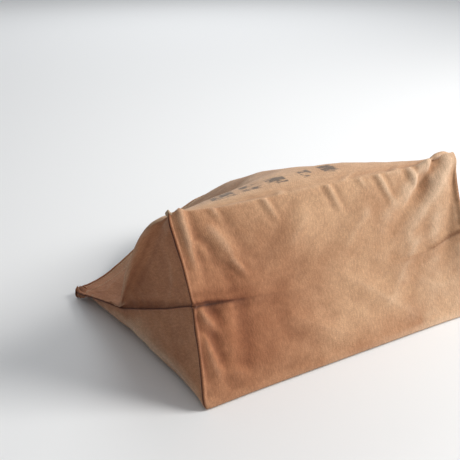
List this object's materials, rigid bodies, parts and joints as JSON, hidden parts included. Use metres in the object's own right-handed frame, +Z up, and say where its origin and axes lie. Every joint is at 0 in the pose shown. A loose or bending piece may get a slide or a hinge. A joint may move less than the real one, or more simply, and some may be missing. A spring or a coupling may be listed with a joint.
{
  "type": "mail sack",
  "caption": "Boxed-base mail sack of heavy tan canvas, lying on its back panel with the mouth part open, hemmed and fitted with brass cord eyelets.",
  "frame": {"origin": "on the table, under the middle of the bounding box", "axes": "+X along the long side of the base, +Y from the base towards the mouth, +Z up from the table"},
  "size_m": [0.484, 0.3247, 0.1874],
  "materials": {
    "canvas": "heavy cotton twill, tan, matt and worn",
    "hem_canvas": "turned canvas hem, matt",
    "binding_tape": "cotton herringbone tape, matt",
    "brass": "dull aged brass"
  },
  "bodies": {
    "sack": {"back_panel": "canvas", "base_panel": "canvas", "left_end_upper": "canvas", "left_end_lower": "canvas", "right_end_upper": "canvas", "right_end_lower": "canvas", "back_hem": "hem_canvas", "left_side_seam_binding": "binding_tape", "right_side_seam_binding": "binding_tape", "left_end_seam_binding": "binding_tape", "right_end_seam_binding": "binding_tape", "back_eyelet_1": "brass", "back_eyelet_2": "brass", "back_eyelet_3": "brass", "back_eyelet_washer_1": "brass", "back_eyelet_washer_2": "brass", "back_eyelet_washer_3": "brass"},
    "front": {"front_panel": "canvas", "front_hem": "hem_canvas", "front_eyelet_1": "brass", "front_eyelet_2": "brass", "front_eyelet_3": "brass", "front_eyelet_washer_1": "brass", "front_eyelet_washer_2": "brass", "front_eyelet_washer_3": "brass"}
  },
  "joints": [
    {"name": "mouth_lift", "type": "hinge", "parent": "sack", "child": "front", "pos_m": [0, -0.08616, 0.18725], "axis": [1, 0, 0], "range_deg": [0, 10]}
  ]
}
